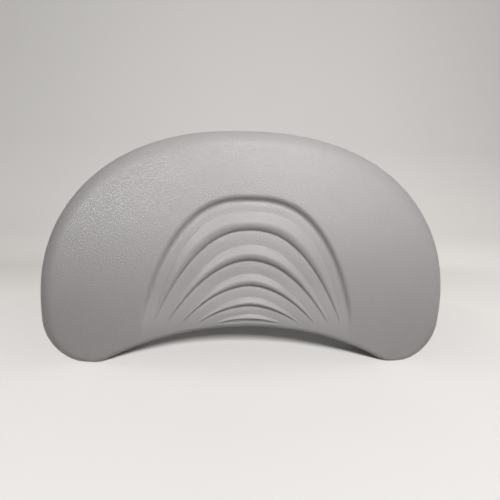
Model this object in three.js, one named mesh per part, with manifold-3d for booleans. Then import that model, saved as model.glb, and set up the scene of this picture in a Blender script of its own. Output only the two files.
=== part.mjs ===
// Bath pillow of moulded foam: a kidney-shaped headrest with a fan of five crescent ridges.
// Four suction cups on its back slide in keyhole sockets, so that it lifts off the wall.
// Millimetres. +Z is up, the face looks along -Y, and the pillow stands on its two lobes at Z = 0.
// Depths are measured from the plane of the back, before the whole is centred over its base.

import * as THREE from 'three';
import Module from 'manifold-3d';
import { mergeVertices } from 'three/addons/utils/BufferGeometryUtils.js';

const wasm = await Module();
wasm.setup();

// Outline, seen from the front
const width = 300;
const height = 170;
const lobeRadius = 32.2;
const archRise = 30.6;
const topFullness = 2.335;
const footCut = 0.5;

// Crown and edges
const crownDepth = 50;
const crownHeight = 105;
const crownFallUp = 4;
const crownFallDown = 14;
const crownFallAcross = 6;
const topRoll = 13;
const archRoll = 3;
const backEdge = 1.5;

// Fan of ridges on the face
const fanTopGap = 50.5;
const fanBaseGap = 0.2;
const fanSideGap = 29.7;
const grooveRoll = 6;
const grooveDepth = 3.4;
const rollFall = 0.4;
const grooveFullness = 2.64;
const grooveFooting = 1.3;
const fieldDepth = 2.8;
const fieldFade = 34;
const ridgeCount = 5;
const ridgeGap = 6.6;
const ridgeInset = 4.3;
const ridgeBand = 12.3;
const ridgeLift = 2.2;
const ridgeFullness = 1.86;
const ridgeFullnessGain = 1.17;
const ridgeFullnessPower = 6.5;
const creaseFullnessLoss = 0.69;
const creaseDip = 0.8;
const ridgeTip = 0.6;
const ridgeSpacingPower = 1.56;
const ridgeSpreadPower = 0.68;
const ridgeBandPower = 0.78;
const ridgeLiftPower = 0.3;
const crestPlace = 0.48;
const browPlace = 0.84;
const browLift = 0.65;
const ridgeEnd = 1;
const ridgeTaper = 2.2;

// Walls and fits
const skin = 2.5;
const backSheet = 2;
const fit = 0.3;

// Stiff plate in the back of the foam
const plateThickness = 3;
const plateMargin = 16;
const wellWall = 1.6;
const wellFloor = 2;
const bossRadius = 3.6;
const bossFloor = 1.2;

// Keyhole sockets
const travel = 10;
const flangeThickness = 2.5;
const flangeMargin = 3.5;
const collarWall = 1.6;
const collarDepth = 3;
const entryClearance = 0.5;
const chamberClearance = 1.2;

// Suction cups
const neckRadius = 3.5;
const headRadius = 6;
const headTop = 3.6;
const headThickness = 3;
const headCrown = 1;
const headRoom = 1.5;
const shoulderRadius = 8;
const bellRadius = 25;
const bellDepth = 12.2;
const bellCrown = 4;
const bellFlare = 1.6;
const bellLip = 0.8;
const rimLand = 1.6;
const lowerCupIn = 6;
const lowerCupUp = 2;
const upperCupSpacing = 116;
const upperCupDrop = 58;

// Socket screws
const shankRadius = 1.45;
const shankLength = 8;
const screwHeadRadius = 2.8;
const screwHeadHeight = 1.6;
const driveLength = 3.4;
const driveWidth = 0.8;
const driveDepth = 0.9;
const screwLand = 2.25;

// Facets
const roundSegments = 28;
const smallSegments = 12;
const curveSegments = 8;
const bellSteps = 5;
const weld = 1e-4;
const outerDetail = { arch: 6, hip: 1, heel: 2, toe: 5, top: 13, roll: 4, rows: 3, arches: 14 };
const innerDetail = { arch: 4, hip: 1, heel: 1, toe: 3, top: 8, roll: 2, rows: 2, arches: 8 };

// Colours and finishes
const looks = {
  skin: { color: 0xb9babc, roughness: 0.5, metalness: 0 },
  foam: { color: 0xd8d2bf, roughness: 0.95, metalness: 0 },
  plate: { color: 0x3c3e42, roughness: 0.6, metalness: 0 },
  socket: { color: 0x8d9093, roughness: 0.45, metalness: 0 },
  cup: { color: 0xdfe6e8, roughness: 0.2, metalness: 0 },
  screw: { color: 0xb4b6b8, roughness: 0.3, metalness: 1 },
};

// Places worked out from the driving sizes
const lobeX = width / 2 - lobeRadius;
const lobeZ = lobeRadius - footCut;
const archReach = lobeZ - archRise;
const archRadius = (lobeX ** 2 + archReach ** 2 - lobeRadius ** 2) / (2 * (lobeRadius - archReach));
const archZ = archRise - archRadius;
const lobeStart = Math.atan2(lobeX, lobeZ - archZ);
const footAngle = Math.acos(lobeZ / lobeRadius);
const fanBase = archRise + archRoll + fanBaseGap;
const fanHalf = archRadius * Math.sin(lobeStart) - fanSideGap;
const fanRise = height - fanTopGap - fanBase;

const plateBack = -backSheet - fit;
const plateFront = plateBack - plateThickness;
const flangeFront = plateBack + fit;
const flangeBack = flangeFront + flangeThickness;
const slotRadius = neckRadius + fit;
const entryRadius = headRadius + entryClearance;
const chamberRadius = travel / 2 + headRadius + chamberClearance;
const collarRadius = chamberRadius + collarWall;
const wellRadius = collarRadius + fit;
const wellOuter = wellRadius + wellWall;
const headBack = flangeFront - fit;
const chamberFloor = headBack - headThickness - headRoom;
const wellFront = chamberFloor - wellFloor;
const holeRadius = shankRadius + fit;
const screwReach = wellOuter + screwLand;
const flangeRadius = screwReach + flangeMargin;
const screwSeat = flangeBack + fit;
const screwTip = screwSeat - shankLength;
const bossFront = screwTip - fit - bossFloor;
const shoulder = flangeBack + fit;
const wallPlane = shoulder + bellDepth;

const sockets = [
  { name: 'lower_left', x: -(lobeX - lowerCupIn), z: lobeZ + lowerCupUp },
  { name: 'lower_right', x: lobeX - lowerCupIn, z: lobeZ + lowerCupUp },
  { name: 'upper_left', x: -upperCupSpacing / 2, z: height - upperCupDrop },
  { name: 'upper_right', x: upperCupSpacing / 2, z: height - upperCupDrop },
];

// How thick the pillow is at a point of its face, before the groove and ridges
function faceDepth(x, z) {
  const up = Math.max(0, z - crownHeight) / (height - crownHeight);
  const down = Math.max(0, crownHeight - z) / crownHeight;
  const across = x / (width / 2);
  return crownDepth - crownFallUp * up ** 2 - crownFallDown * down ** 2 - crownFallAcross * across ** 2;
}

function smooth(value) {
  const t = THREE.MathUtils.clamp(value, 0, 1);
  return t * t * (3 - 2 * t);
}

// Quarter of a superellipse, from the outer side of the right lobe to the middle of the top
class TopCurve extends THREE.Curve {
  getPoint(t, target = new THREE.Vector2()) {
    const angle = t * Math.PI / 2;
    const across = Math.cos(angle) ** (2 / topFullness);
    const up = Math.sin(angle) ** (2 / topFullness);
    return target.set(width / 2 * across, lobeZ + (height - lobeZ) * up);
  }
}

// Height at which the face meets the roll of the neck arch
function archRim(x) {
  return archZ + Math.sqrt((archRadius + archRoll) ** 2 - x ** 2);
}

// One arch of the fan, from its right foot over the top to its left foot
class FanArch extends THREE.Curve {
  constructor(half, rise, fullness, footing = 1) {
    super();
    Object.assign(this, { half, rise, fullness, footing });
  }

  getPoint(t, target = new THREE.Vector2()) {
    const side = 1 - 2 * t;
    const up = Math.max(0, 1 - Math.abs(side) ** this.fullness) ** (1 / this.footing);
    return target.set(this.half * side, fanBase + this.rise * up);
  }
}

// Points of the right half of the outline, from the arch's middle to the top's middle,
// each with its outward direction and the radius of the roll in front of it
function halfOutline(detail) {
  const points = [];
  const tangent = archRadius * Math.sin(lobeStart);
  const hipAngle = Math.asin((fanHalf + grooveRoll + tangent) / 2 / archRadius);
  const addArch = (angle) => {
    const nx = -Math.sin(angle);
    const nz = -Math.cos(angle);
    points.push({ x: -archRadius * nx, z: archZ - archRadius * nz, nx, nz, roll: archRoll });
  };
  for (let i = 0; i < detail.arch; i++) addArch(hipAngle * i / detail.arch);
  for (let i = 0; i < detail.hip; i++) addArch(hipAngle + (lobeStart - hipAngle) * i / detail.hip);
  const addLobe = (angle) => {
    const nx = Math.sin(angle);
    const nz = -Math.cos(angle);
    const turn = (angle + lobeStart) / (Math.PI / 2 + lobeStart);
    const roll = THREE.MathUtils.lerp(archRoll, topRoll, smooth(turn));
    points.push({ x: lobeX + lobeRadius * nx, z: lobeZ + lobeRadius * nz, nx, nz, roll });
  };
  for (let i = 0; i < detail.heel; i++) {
    addLobe(THREE.MathUtils.lerp(-lobeStart, -footAngle, i / detail.heel));
  }
  addLobe(-footAngle);
  for (let i = 0; i < detail.toe; i++) {
    addLobe(THREE.MathUtils.lerp(footAngle, Math.PI / 2, i / detail.toe));
  }
  for (const { x, y } of new TopCurve().getSpacedPoints(detail.top)) {
    const nx = (Math.max(0, x) / (width / 2)) ** (topFullness - 1) / (width / 2);
    const nz = (Math.max(0, y - lobeZ) / (height - lobeZ)) ** (topFullness - 1) / (height - lobeZ);
    const length = Math.hypot(nx, nz);
    points.push({ x, z: y, nx: nx / length, nz: nz / length, roll: topRoll });
  }
  return points;
}

// The whole outline, counter-clockwise seen from the front, starting at the arch's middle
function outline(detail) {
  const right = halfOutline(detail);
  const left = right.slice(1, -1).reverse().map((p) => ({ ...p, x: -p.x, nx: -p.nx }));
  return [...right, ...left];
}

function insetPoint(point, inset) {
  return { x: point.x - point.nx * inset, z: Math.max(0, point.z - point.nz * inset) };
}

// An arch along the groove, or a distance outside it
function grooveArch(outside) {
  return new FanArch(fanHalf + outside, fanRise + outside, grooveFullness, grooveFooting);
}

// The rows of the fan, from outside in, each an arch with its own height over the face
function fanRows(ridged) {
  const sunk = (depth) => (t, x, z) => -depth * smooth((z - archRim(x)) / fieldFade);
  const rows = [
    { arch: grooveArch(grooveRoll), over: () => 0 },
    { arch: grooveArch(grooveRoll / 2), over: sunk(grooveDepth * rollFall) },
    { arch: grooveArch(0), over: sunk(grooveDepth) },
  ];
  for (let ridge = 0; ridge < ridgeCount; ridge++) {
    const share = 1 - ridge / ridgeCount;
    const rise = (fanRise - ridgeGap) * share ** ridgeSpacingPower;
    const band = ridgeBand * share ** ridgeBandPower;
    const half = (fanHalf - ridgeInset) * share ** ridgeSpreadPower;
    const gain = ridgeFullnessGain * share ** ridgeFullnessPower;
    const lift = ridgeLift * share ** ridgeLiftPower;
    const across = (part) => new FanArch(
      half + ridgeTip * (0.5 - part),
      rise - band * part,
      ridgeFullness + gain * (1 - creaseFullnessLoss * part),
    );
    const field = sunk(fieldDepth);
    const raised = (amount) => (t, x, z) => {
      const side = Math.abs(2 * t - 1) / ridgeEnd;
      return field(t, x, z) + amount * Math.max(0, 1 - side ** ridgeTaper);
    };
    if (ridged) {
      rows.push({ arch: across(0), over: field });
      rows.push({ arch: across(crestPlace), over: raised(lift) });
      rows.push({ arch: across(browPlace), over: raised(lift * browLift) });
    }
    rows.push({ arch: across(1), over: raised(-creaseDip) });
  }
  return rows;
}

// Points and triangles of one surface
class Surface {
  constructor() {
    this.points = [];
    this.triangles = [];
  }

  point(x, y, z) {
    this.points.push(x, y, z);
    return this.points.length / 3 - 1;
  }

  x(index) {
    return this.points[3 * index];
  }

  // Joins two rows of equally many points
  strip(outer, inner) {
    for (let i = 0; i + 1 < outer.length; i++) {
      this.triangles.push([outer[i], outer[i + 1], inner[i + 1]], [outer[i], inner[i + 1], inner[i]]);
    }
  }

  // Joins two closed rows of equally many points
  band(outer, inner) {
    this.strip([...outer, outer[0]], [...inner, inner[0]]);
  }

  // Joins two rows of unlike counts, moving on along the row that is behind
  bridge(outer, inner, outerMarks, innerMarks) {
    let i = 0;
    let j = 0;
    while (i + 1 < outer.length || j + 1 < inner.length) {
      const moveOuter = j + 1 === inner.length
        || (i + 1 < outer.length && outerMarks[i + 1] <= innerMarks[j + 1]);
      if (moveOuter) {
        this.triangles.push([outer[i], outer[i + 1], inner[j]]);
        i += 1;
      } else {
        this.triangles.push([outer[i], inner[j + 1], inner[j]]);
        j += 1;
      }
    }
  }

  geometry() {
    const geometry = new THREE.BufferGeometry();
    geometry.setAttribute('position', new THREE.Float32BufferAttribute(this.points, 3));
    geometry.setIndex(this.triangles.flat());
    return geometry;
  }
}

function evenMarks(row) {
  return row.map((_, i) => i / (row.length - 1));
}

// Lays the face and its rolled edge into a surface, a wall's thickness under the outside,
// and returns the ring where the roll leaves the side wall
function layFace(surface, detail, wall, ridged) {
  const stations = outline(detail);
  const rolls = [];
  for (let step = 0; step <= detail.roll; step++) {
    const angle = Math.PI / 2 * step / detail.roll;
    rolls.push(stations.map((station) => {
      const radius = station.roll - wall;
      const { x, z } = insetPoint(station, wall + radius * (1 - Math.cos(angle)));
      return surface.point(x, -faceDepth(x, z) + wall + radius * (1 - Math.sin(angle)), z);
    }));
  }
  for (let step = 0; step < detail.roll; step++) surface.band(rolls[step], rolls[step + 1]);

  // Fan of arches, each from its right foot to its left foot
  const rows = fanRows(ridged);
  const fan = rows.map(({ arch, over }) => arch.getSpacedPoints(detail.arches).map((p, i) => (
    surface.point(p.x, -faceDepth(p.x, p.y) + wall - over(i / detail.arches, p.x, p.y), p.y)
  )));
  for (let row = 0; row + 1 < fan.length; row++) surface.strip(fan[row], fan[row + 1]);

  // Plain face from the roll to the fan, over the lobes and the top
  const rim = rolls.at(-1);
  const outer = rim.slice(detail.arch, rim.length - detail.arch + 1);
  let previous = outer;
  const hips = [[], []];
  for (let row = 1; row <= detail.rows; row++) {
    const share = row / (detail.rows + 1);
    const next = outer.map((index, i) => {
      const fanPoint = rows[0].arch.getPointAt(i / (outer.length - 1));
      const x = THREE.MathUtils.lerp(surface.points[3 * index], fanPoint.x, share);
      const z = THREE.MathUtils.lerp(surface.points[3 * index + 2], fanPoint.y, share);
      return surface.point(x, -faceDepth(x, z) + wall, z);
    });
    surface.strip(previous, next);
    hips[0].push(next.at(-1));
    hips[1].unshift(next[0]);
    previous = next;
  }
  surface.bridge(previous, fan[0], evenMarks(previous), evenMarks(fan[0]));

  // Strip between the arch's roll and the feet of the fan, from left to right
  const arch = [...rim.slice(rim.length - detail.arch), ...rim.slice(0, detail.arch + 1)];
  const feet = [
    ...hips[0],
    ...fan.map((row) => row.at(-1)),
    ...fan.at(-1).slice(1, -1).reverse(),
    ...fan.map((row) => row[0]).reverse(),
    ...hips[1],
  ];
  const inner = arch.slice(1, -1);
  surface.triangles.push([arch[0], arch[1], feet[0]], [arch.at(-2), arch.at(-1), feet.at(-1)]);
  surface.bridge(inner, feet, inner.map((i) => surface.x(i)), feet.map((i) => surface.x(i)));
  return { stations, ring: rolls[0] };
}

// Ring of the outline at one depth
function ring(surface, stations, inset, y) {
  return stations.map((station) => {
    const { x, z } = insetPoint(station, inset);
    return surface.point(x, y, z);
  });
}

// The skin: a shell that is open at the back
function faceSkin() {
  const outside = new Surface();
  const { stations, ring: outer } = layFace(outside, outerDetail, 0, true);
  const wall = ring(outside, stations, 0, -backEdge);
  const edge = ring(outside, stations, backEdge, 0);
  outside.band(wall, outer);
  outside.band(edge, wall);
  capBack(outside, edge);
  return cut(solid(outside.geometry()), [solid(hollow(skin, backEdge))]);
}

// The space inside the skin, or the foam in it, from the face to one depth at the back
function hollow(wall, backY) {
  const inside = new Surface();
  const { stations, ring: outer } = layFace(inside, innerDetail, wall, false);
  const back = ring(inside, stations, wall, backY);
  inside.band(back, outer);
  capBack(inside, back);
  return inside.geometry();
}

// Closes a ring at the back with a flat face
function capBack(surface, loop) {
  const contour = loop.map((i) => new THREE.Vector2(surface.x(i), surface.points[3 * i + 2]));
  for (const [a, b, c] of THREE.ShapeUtils.triangulateShape(contour, [])) {
    surface.triangles.push([loop[a], loop[c], loop[b]]);
  }
}

// A closed geometry as a solid for cutting and joining
function solid(geometry) {
  const bare = new THREE.BufferGeometry();
  bare.setAttribute('position', geometry.getAttribute('position').clone());
  if (geometry.index) bare.setIndex(geometry.index.clone());
  const merged = mergeVertices(bare, weld);
  const place = (i) => new THREE.Vector3().fromBufferAttribute(merged.getAttribute('position'), i);
  const triangles = [];
  let volume = 0;
  for (let i = 0; i < merged.index.count; i += 3) {
    const [a, b, c] = [0, 1, 2].map((k) => merged.index.getX(i + k));
    if (a === b || b === c || c === a) continue;
    triangles.push([a, b, c]);
    volume += place(a).dot(place(b).cross(place(c)));
  }
  const outward = triangles.map(([a, b, c]) => (volume < 0 ? [a, c, b] : [a, b, c]));
  const triVerts = Uint32Array.from(outward.flat());
  const vertProperties = Float32Array.from(merged.getAttribute('position').array);
  return new wasm.Manifold(new wasm.Mesh({ numProp: 3, vertProperties, triVerts }));
}

function join(first, others) {
  return others.reduce((body, other) => body.add(other), first);
}

function cut(body, tools) {
  return tools.reduce((rest, tool) => rest.subtract(tool), body);
}

function disc(radius, x, z, yFront, yBack, segments = roundSegments) {
  const geometry = new THREE.CylinderGeometry(radius, radius, yBack - yFront, segments);
  return solid(geometry.translate(x, (yFront + yBack) / 2, z));
}

// A flat outline given thickness, from one depth to another
function slab(shape, yFront, yBack) {
  const depth = yBack - yFront;
  const geometry = new THREE.ExtrudeGeometry(shape, { depth, bevelEnabled: false, curveSegments });
  return solid(geometry.rotateX(Math.PI / 2).translate(0, yBack, 0));
}

function outlineShape(inset) {
  return new THREE.Shape(outline(innerDetail).map((station) => {
    const { x, z } = insetPoint(station, inset);
    return new THREE.Vector2(x, z);
  }));
}

const screwSides = [-1, 1];
const screwPlaces = sockets.flatMap(({ name, x, z }) => screwSides.map((side) => ({
  name: `${name}_${side < 0 ? 'a' : 'b'}`,
  x: x + side * screwReach,
  z,
})));

function foamCore() {
  const foam = solid(hollow(skin + fit, plateBack));
  const bay = slab(outlineShape(plateMargin - fit), plateFront - fit, 0);
  const wells = sockets.map(({ x, z }) => disc(wellOuter + fit, x, z, wellFront - fit, 0));
  const bosses = screwPlaces.map(({ x, z }) => (
    disc(bossRadius + fit, x, z, bossFront - fit, 0, smallSegments)
  ));
  return cut(foam, [bay, ...wells, ...bosses]);
}

function insertPlate() {
  const sheet = slab(outlineShape(plateMargin), plateFront, plateBack);
  const middle = (plateFront + plateBack) / 2;
  const wells = sockets.map(({ x, z }) => disc(wellOuter, x, z, wellFront, middle));
  const bosses = screwPlaces.map(({ x, z }) => disc(bossRadius, x, z, bossFront, middle, smallSegments));
  const pits = sockets.map(({ x, z }) => disc(wellRadius, x, z, chamberFloor, 0));
  const holes = screwPlaces.map(({ x, z }) => disc(holeRadius, x, z, screwTip - fit, 0, smallSegments));
  return cut(join(sheet, [...wells, ...bosses]), [...pits, ...holes]);
}

function backSkin() {
  const sheet = slab(outlineShape(skin + fit), -backSheet, 0);
  return cut(sheet, sockets.map(({ x, z }) => disc(flangeRadius + fit, x, z, -2 * backSheet, backSheet)));
}

// Keyhole: a slot whose upper end seats the neck, above the round hole that lets the head in
function keyhole() {
  const seat = travel / 2;
  const corner = Math.asin(slotRadius / entryRadius);
  const path = new THREE.Shape();
  path.absarc(0, -seat, entryRadius, Math.PI / 2 + corner, Math.PI / 2 - corner + 2 * Math.PI, false);
  path.absarc(0, seat, slotRadius, 0, Math.PI, false);
  return path;
}

function cupSocket({ x, z }) {
  const plate = disc(flangeRadius, 0, 0, flangeFront, flangeBack);
  const collar = disc(collarRadius, 0, 0, flangeFront - collarDepth, (flangeFront + flangeBack) / 2);
  const chamber = disc(chamberRadius, 0, 0, flangeFront - 2 * collarDepth, flangeFront);
  const slot = slab(keyhole(), flangeFront - collarDepth, flangeBack + collarDepth);
  const holes = screwSides.map((side) => (
    disc(holeRadius, side * screwReach, 0, flangeFront - fit, flangeBack + fit, smallSegments)
  ));
  return cut(join(plate, [collar]), [chamber, slot, ...holes]).translate([x, 0, z]);
}

// Soft cup turned about its axis: head, neck, shoulder, flared bell, flat rim, hollow
function suctionCup() {
  const profile = [
    [0, headBack - headThickness],
    [headTop, headBack - headThickness],
    [headRadius, headBack - headThickness + headCrown],
    [headRadius, headBack],
    [neckRadius, headBack],
    [neckRadius, shoulder],
    [shoulderRadius, shoulder],
  ];
  for (let step = 1; step <= bellSteps; step++) {
    const out = step / bellSteps;
    const radius = THREE.MathUtils.lerp(shoulderRadius, bellRadius, out);
    profile.push([radius, shoulder + bellLip + (bellDepth - 2 * bellLip) * out ** bellFlare]);
  }
  const rimInner = bellRadius - rimLand;
  profile.push([bellRadius, wallPlane]);
  for (let step = bellSteps; step >= 0; step--) {
    const out = step / bellSteps;
    profile.push([rimInner * out, wallPlane - (bellDepth - bellCrown) * (1 - out ** 2)]);
  }
  const points = profile.map(([radius, y]) => new THREE.Vector2(radius, y));
  return solid(new THREE.LatheGeometry(points, roundSegments));
}

// Pan-headed screw with a cross drive
function socketScrew() {
  const shank = disc(shankRadius, 0, 0, screwTip, screwSeat + screwHeadHeight / 2, smallSegments);
  const head = disc(screwHeadRadius, 0, 0, screwSeat, screwSeat + screwHeadHeight, smallSegments);
  const driveY = screwSeat + screwHeadHeight;
  const drives = [[driveLength, driveWidth], [driveWidth, driveLength]];
  const slots = drives.map(([x, z]) => (
    solid(new THREE.BoxGeometry(x, 2 * driveDepth, z).translate(0, driveY, 0))
  ));
  return cut(join(head, [shank]), slots);
}

// A named mesh of one solid
function mesh(name, body, look) {
  const { vertProperties, triVerts, numProp } = body.getMesh();
  const places = new Float32Array(vertProperties.length / numProp * 3);
  for (let i = 0; i < places.length / 3; i++) {
    places.set(vertProperties.subarray(i * numProp, i * numProp + 3), 3 * i);
  }
  const geometry = new THREE.BufferGeometry();
  geometry.setAttribute('position', new THREE.BufferAttribute(places, 3));
  geometry.setIndex(new THREE.BufferAttribute(triVerts, 1));
  geometry.computeVertexNormals();
  const made = new THREE.Mesh(geometry, new THREE.MeshStandardMaterial(look));
  made.name = name;
  return made;
}

const pillow = new THREE.Group();
pillow.add(mesh('face_skin', faceSkin(), looks.skin));
pillow.add(mesh('foam_core', foamCore(), looks.foam));
pillow.add(mesh('insert_plate', insertPlate(), looks.plate));
pillow.add(mesh('back_skin', backSkin(), looks.skin));
for (const socket of sockets) {
  pillow.add(mesh(`cup_socket_${socket.name}`, cupSocket(socket), looks.socket));
  const cup = mesh(`suction_cup_${socket.name}`, suctionCup(), looks.cup);
  cup.position.set(socket.x, 0, socket.z + travel / 2);
  pillow.add(cup);
}
for (const place of screwPlaces) {
  const screw = mesh(`socket_screw_${place.name}`, socketScrew(), looks.screw);
  screw.position.set(place.x, 0, place.z);
  pillow.add(screw);
}

// The origin is the middle of the base of the pillow and its cups
const box = new THREE.Box3().setFromObject(pillow);
pillow.position.y = -(box.min.y + box.max.y) / 2;

export default pillow;
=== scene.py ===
"""Bath pillow: the looks of a moulded foam headrest with a fan of ridges and four suction cups.

Laid out as an add-on: sizes and colours are properties, and each group of pieces has an operator.
Metres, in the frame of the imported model: +Z up, the face looks along -Y, the cups along +Y.
"""

import math

import bmesh
import bpy
import numpy as np
from bpy.props import FloatProperty, FloatVectorProperty, PointerProperty
from mathutils import Matrix, Vector


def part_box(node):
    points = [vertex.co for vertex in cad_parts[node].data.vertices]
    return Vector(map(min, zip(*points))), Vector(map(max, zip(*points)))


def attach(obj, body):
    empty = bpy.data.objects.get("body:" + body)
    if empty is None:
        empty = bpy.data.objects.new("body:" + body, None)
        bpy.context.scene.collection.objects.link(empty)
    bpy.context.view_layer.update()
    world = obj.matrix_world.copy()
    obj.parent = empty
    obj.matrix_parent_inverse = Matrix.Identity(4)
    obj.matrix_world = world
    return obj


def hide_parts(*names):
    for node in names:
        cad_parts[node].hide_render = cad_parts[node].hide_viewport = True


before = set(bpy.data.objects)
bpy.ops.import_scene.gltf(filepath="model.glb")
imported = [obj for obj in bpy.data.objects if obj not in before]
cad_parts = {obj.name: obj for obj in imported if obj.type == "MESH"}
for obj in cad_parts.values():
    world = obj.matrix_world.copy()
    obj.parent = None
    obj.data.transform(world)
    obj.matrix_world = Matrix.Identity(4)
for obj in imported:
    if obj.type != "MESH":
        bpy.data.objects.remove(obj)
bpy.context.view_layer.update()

bl_info = {
    "name": "Bath Pillow",
    "version": (1, 0, 0),
    "blender": (4, 5, 0),
    "location": "View3D > Sidebar > Bath Pillow",
    "description": "Dresses the packed bath pillow: grained skin, foam, sockets, cups and screws",
    "category": "Object",
}

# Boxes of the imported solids, from which the defaults come
FACE_LOW, FACE_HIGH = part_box("face_skin")
BACK_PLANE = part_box("back_skin")[1].y
MM = 0.001

PLACES = ("lower_left", "lower_right", "upper_left", "upper_right")
SCREW_SIDES = ("a", "b")


def named(group):
    """A group of properties, each named after its attribute."""
    for key, made in group.__annotations__.items():
        made.keywords["name"] = key.replace("_", " ").capitalize()
    return group


def length(default, description):
    """A size that a user would change, given in millimetres."""
    return FloatProperty(
        description=description, default=default * MM, min=0.0,
        precision=5, unit="LENGTH", subtype="DISTANCE",
    )


def factor(default, description):
    """A plain number that a user would change."""
    return FloatProperty(description=description, default=default, precision=3)


def power(default, description):
    """A lamp's power that a user would change, in watts."""
    return FloatProperty(
        description=description, default=default, min=0.0, precision=3, unit="POWER")


def turn(default, description):
    """An angle that a user would change, given in degrees."""
    return FloatProperty(
        description=description, default=math.radians(default), unit="ROTATION", subtype="ANGLE")


def colour(default, description):
    """A linear colour that a user would change."""
    return FloatVectorProperty(
        description=description, default=default, size=3, min=0.0, max=1.0, subtype="COLOR")


@named
class PillowForm(bpy.types.PropertyGroup):
    """Outline, crown and edges of the moulding"""

    width: length((FACE_HIGH.x - FACE_LOW.x) / MM, "Across the two lobes")
    height: length((FACE_HIGH.z - FACE_LOW.z) / MM, "From the lobes' feet to the top")
    lobe_radius: length(32.2, "Radius of a lower lobe")
    arch_rise: length(30.6, "Height of the neck arch over the feet")
    foot_cut: length(0.5, "How much a lobe is flattened where it stands")
    top_fullness: factor(2.335, "Exponent of the curve over the top")
    crown_depth: length(50, "Greatest thickness of the pillow")
    crown_height: length(105, "Height of the thickest place")
    crown_fall_up: length(4, "Fall of the face from there to the top")
    crown_fall_down: length(14, "Fall of the face from there to the feet")
    crown_fall_across: length(6, "Fall of the face at its sides")
    top_roll: length(13, "Radius of the edge over the sides and top")
    arch_roll: length(3, "Radius of the edge along the neck arch")
    back_edge: length(1.5, "Radius of the edge at the back")
    skin: length(2.5, "Thickness of the face skin")


@named
class FanForm(bpy.types.PropertyGroup):
    """Groove and crescent ridges of the face"""

    top_gap: length(50.5, "From the top of the pillow to the groove")
    base_gap: length(0.2, "From the arch's roll to the feet of the fan")
    side_gap: length(29.7, "From the end of the arch to the groove's foot")
    groove_roll: length(6, "Width over which the face falls to the groove")
    groove_depth: length(3.4, "Depth of the groove")
    groove_fullness: factor(2.64, "Exponent of the groove's arch")
    groove_footing: factor(1.3, "How upright the groove's feet stand")
    field_depth: length(2.8, "Depth of the field between the ridges")
    field_fade: length(34, "Height over which the field sinks in")
    ridge_gap: length(6.6, "From the groove down to the first ridge")
    ridge_inset: length(4.3, "From the groove's foot in to the first ridge's")
    ridge_band: length(12.3, "Width of the first ridge at its middle")
    ridge_lift: length(2.2, "Height of the first ridge over the field")
    ridge_fullness: factor(1.86, "Exponent of the last ridge's arch")
    ridge_fullness_gain: factor(1.17, "What the first ridge adds to it")
    ridge_fullness_power: factor(6.5, "How fast that falls off")
    crease_fullness_loss: factor(0.69, "Share of that gain a crease loses")
    crease_dip: length(0.8, "Depth of a crease under the field")
    ridge_tip: length(0.6, "Width of a ridge at its feet")
    spacing_power: factor(1.56, "How the ridges' heights fall off")
    spread_power: factor(0.68, "How the ridges' widths fall off")
    band_power: factor(0.78, "How the bands narrow")
    lift_power: factor(0.3, "How the lifts fall off")
    crest_place: factor(0.38, "Place of the crest across the last ridge")
    crest_shift: factor(0.15, "How much further on the first ridge's crest is")
    lip_share: factor(0.32, "Share of the lift in the small step at the lip")
    lip_gain: factor(0.05, "What the first ridge adds to that share")
    ridge_taper: factor(2.2, "How suddenly a ridge dies away")


@named
class BackForm(bpy.types.PropertyGroup):
    """Sockets, cups and screws on the back"""

    sheet: length(2, "Thickness of the back sheet")
    fit: length(0.3, "Clearance between pieces")
    sheet_edge: length(0.5, "Radius of the back sheet's edges")
    travel: length(10, "How far a cup slides in its keyhole")
    slot_radius: length(3.8, "Half the width of the keyhole's slot")
    entry_radius: length(6.5, "Radius of the keyhole's entry")
    chamber_radius: length(12.2, "Inside of the socket's collar")
    collar_radius: length(13.8, "Outside of the socket's collar")
    collar_depth: length(3, "Depth of the collar under the flange")
    flange_radius: length(21.45, "Radius of the socket's flange")
    flange_thickness: length(2.5, "Thickness of the flange")
    flange_edge: length(0.6, "Radius of the flange's edges")
    screw_reach: length(17.95, "From a socket's middle to its screws")
    hole_radius: length(1.75, "Radius of a screw hole")
    neck_radius: length(3.5, "Radius of a cup's neck")
    head_radius: length(6, "Radius of a cup's head")
    head_top: length(3.6, "Radius of the flat on a cup's head")
    head_thickness: length(3, "Thickness of a cup's head")
    head_crown: length(1, "Height of the slope round a cup's head")
    shoulder_radius: length(8, "Radius of a cup's shoulder")
    bell_radius: length(25, "Radius of a cup's rim")
    bell_depth: length(12.2, "From a cup's shoulder to its rim")
    bell_crown: length(4, "Thickness of a cup over its hollow")
    bell_flare: factor(1.6, "How a cup's bell curves outwards")
    bell_lip: length(0.8, "Thickness of a cup at its rim")
    rim_land: length(1.6, "Width of the flat on a cup's rim")
    shank_radius: length(1.45, "Radius of a screw's shank")
    shank_length: length(8, "Length of a screw under its head")
    screw_head_radius: length(2.8, "Radius of a screw's head")
    screw_head_height: length(1.6, "Height of a screw's head")
    drive_length: length(3.4, "Length of the cross in a screw's head")
    drive_width: length(0.8, "Width of the cross in a screw's head")
    drive_depth: length(0.9, "Depth of the cross in a screw's head")


@named
class Finishes(bpy.types.PropertyGroup):
    """Colours and grain of the pieces"""

    skin: colour((0.517, 0.495, 0.491), "Grained polyurethane of the face")
    back: colour((0.46, 0.46, 0.47), "Grained sheet of the back")
    foam: colour((0.70, 0.65, 0.52), "Open foam of the core")
    plate: colour((0.05, 0.05, 0.055), "Stiff plate in the foam")
    socket: colour((0.27, 0.28, 0.29), "Moulded plastic of the sockets")
    cup: colour((0.80, 0.87, 0.88), "Soft clear vinyl of the cups")
    screw: colour((0.56, 0.57, 0.58), "Stainless steel of the screws")
    grain: length(1.5, "Width of one cell of the leather grain")


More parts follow.
